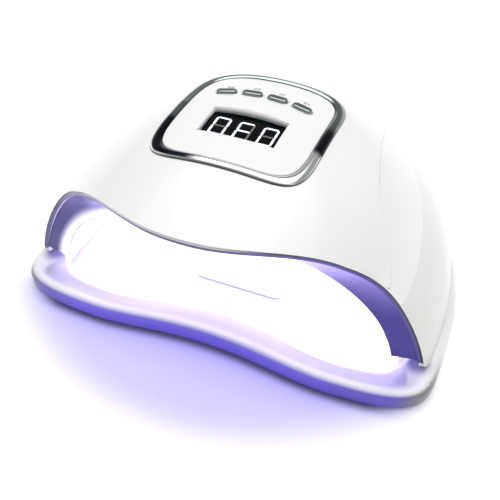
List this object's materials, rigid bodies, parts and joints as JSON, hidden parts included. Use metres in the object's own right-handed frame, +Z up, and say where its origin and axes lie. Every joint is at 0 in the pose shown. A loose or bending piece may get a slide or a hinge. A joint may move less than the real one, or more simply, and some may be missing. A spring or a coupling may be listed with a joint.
{
  "type": "nail curing lamp",
  "caption": "Domed desk lamp for curing nail gel: a hand cavity lined with violet LEDs, a chrome-ringed panel with timer buttons and display, and a lift-off tray.",
  "frame": {"origin": "middle of the footprint box, on the surface that the lamp stands on", "axes": "+X to the right across the lamp as its user sees it, +Y from the open front to the back, +Z up"},
  "size_m": [0.2304, 0.209, 0.1065],
  "materials": {
    "tray_white": "gloss white ABS",
    "foot_rubber": "matte",
    "magnet": "nickel plate",
    "shell_white": "gloss white ABS",
    "bezel_violet": "white plastic in violet light",
    "reflector_white": "bright white, lit from inside",
    "frame_white": "satin",
    "screw_steel": "plated",
    "ring_chrome": "mirror chrome plate",
    "panel_white": "gloss white",
    "button_chrome": "mirror chrome plate",
    "board_green": "circuit board",
    "switch_black": "matte",
    "display_black": "dark filter",
    "segment_lit": "lit",
    "segment_dim": "unlit",
    "strip_white": "white circuit strip",
    "led_violet": "lit lens",
    "parts_black": "matte",
    "standoff_brass": "turned",
    "sensor_black": "dark lens",
    "inlet_black": "matte"
  },
  "bodies": {
    "tray": {"base_tray": "tray_white", "tray_feet": "foot_rubber", "tray_magnets": "magnet"},
    "housing": {"upper_shell": "shell_white", "front_bezel": "bezel_violet", "reflector": "reflector_white", "bottom_frame": "frame_white", "housing_magnets": "magnet", "housing_screws": "screw_steel", "chrome_ring": "ring_chrome", "control_panel": "panel_white", "control_board": "board_green", "tact_switches": "switch_black", "board_screws": "screw_steel", "display_module": "display_black", "segments_lit": "segment_lit", "segments_dim": "segment_dim", "led_strip_1": "strip_white", "led_strip_2": "strip_white", "led_strip_3": "strip_white", "led_strip_4": "strip_white", "rear_led_strip": "strip_white", "leds_1": "led_violet", "leds_2": "led_violet", "leds_3": "led_violet", "leds_4": "led_violet", "rear_leds": "led_violet", "driver_board": "board_green", "driver_parts": "parts_black", "board_standoffs": "standoff_brass", "presence_sensor": "sensor_black", "dc_inlet": "inlet_black"},
    "button_10": {"button_10": "button_chrome"},
    "button_30": {"button_30": "button_chrome"},
    "button_60": {"button_60": "button_chrome"},
    "button_99": {"button_99": "button_chrome"}
  },
  "joints": [
    {"name": "housing_lift", "type": "slide", "parent": "tray", "child": "housing", "axis": [0, 0, 1], "range_m": [0, 0.12]},
    {"name": "button_10_press", "type": "slide", "parent": "housing", "child": "button_10", "axis": [-0.1386, -0.1203, -0.983], "range_m": [0, 0.0005], "stiffness_N_per_m": 600},
    {"name": "button_30_press", "type": "slide", "parent": "housing", "child": "button_30", "axis": [-0.0394, -0.1211, -0.9919], "range_m": [0, 0.0005], "stiffness_N_per_m": 600},
    {"name": "button_60_press", "type": "slide", "parent": "housing", "child": "button_60", "axis": [0.0394, -0.1211, -0.9919], "range_m": [0, 0.0005], "stiffness_N_per_m": 600},
    {"name": "button_99_press", "type": "slide", "parent": "housing", "child": "button_99", "axis": [0.1386, -0.1203, -0.983], "range_m": [0, 0.0005], "stiffness_N_per_m": 600}
  ]
}
